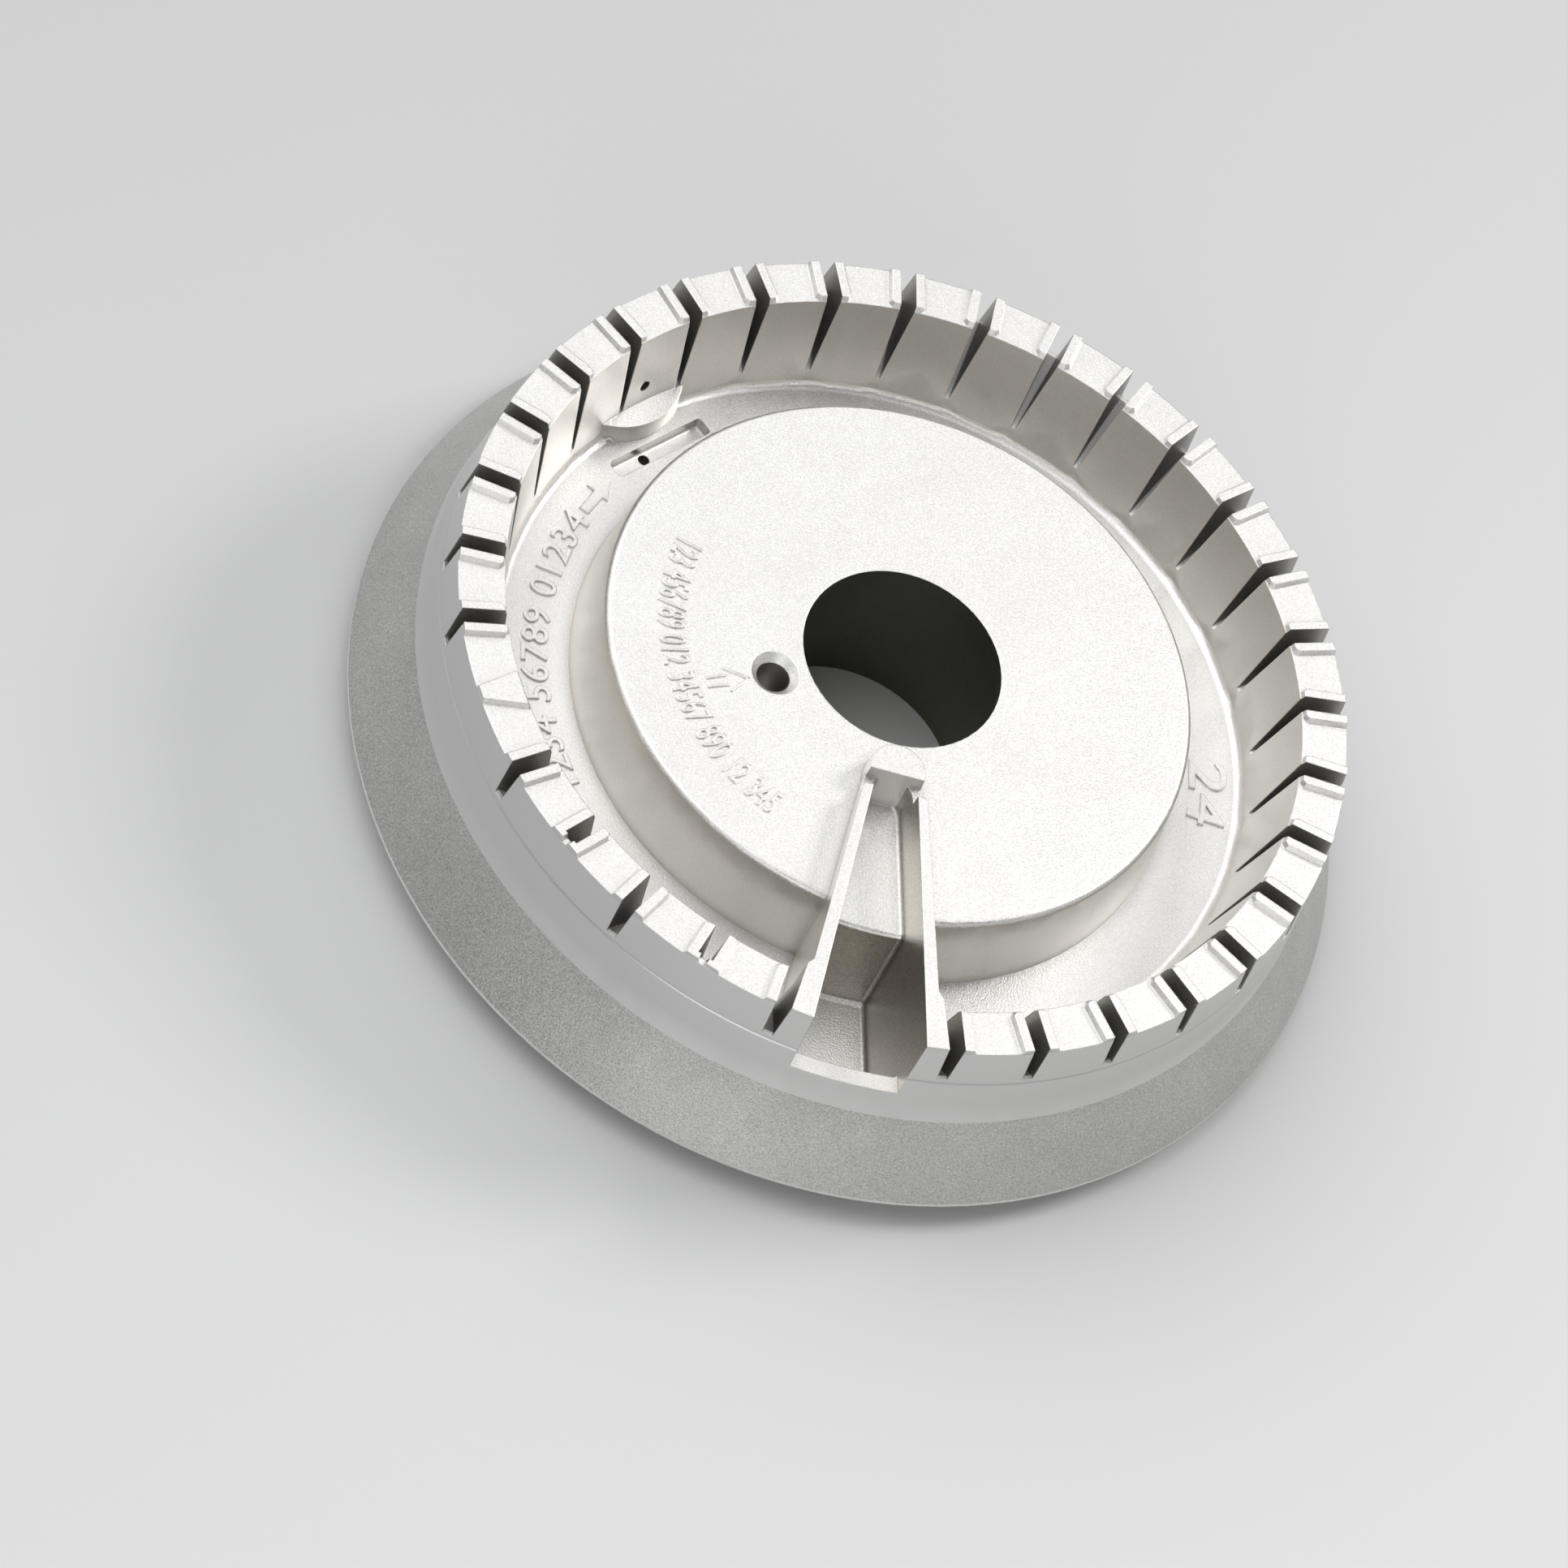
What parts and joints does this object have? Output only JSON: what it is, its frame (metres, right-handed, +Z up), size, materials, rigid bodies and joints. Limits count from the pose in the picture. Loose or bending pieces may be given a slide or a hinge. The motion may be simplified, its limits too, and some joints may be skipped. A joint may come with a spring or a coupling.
{
  "type": "gas burner base",
  "caption": "Die-cast aluminium base of a sealed gas burner, with a slotted port ring, a gas channel, a central throat and an ignition pocket.",
  "frame": {"origin": "middle of the lower end of the throat tube, on the plane that the part stands on", "axes": "+Z up along the throat, -Y toward the mouth of the ignition pocket"},
  "size_m": [0.1124, 0.1124, 0.0248],
  "materials": {
    "cast_aluminium": "satin, bead blasted"
  },
  "bodies": {
    "root": {"burner_base": "cast_aluminium"}
  },
  "joints": []
}
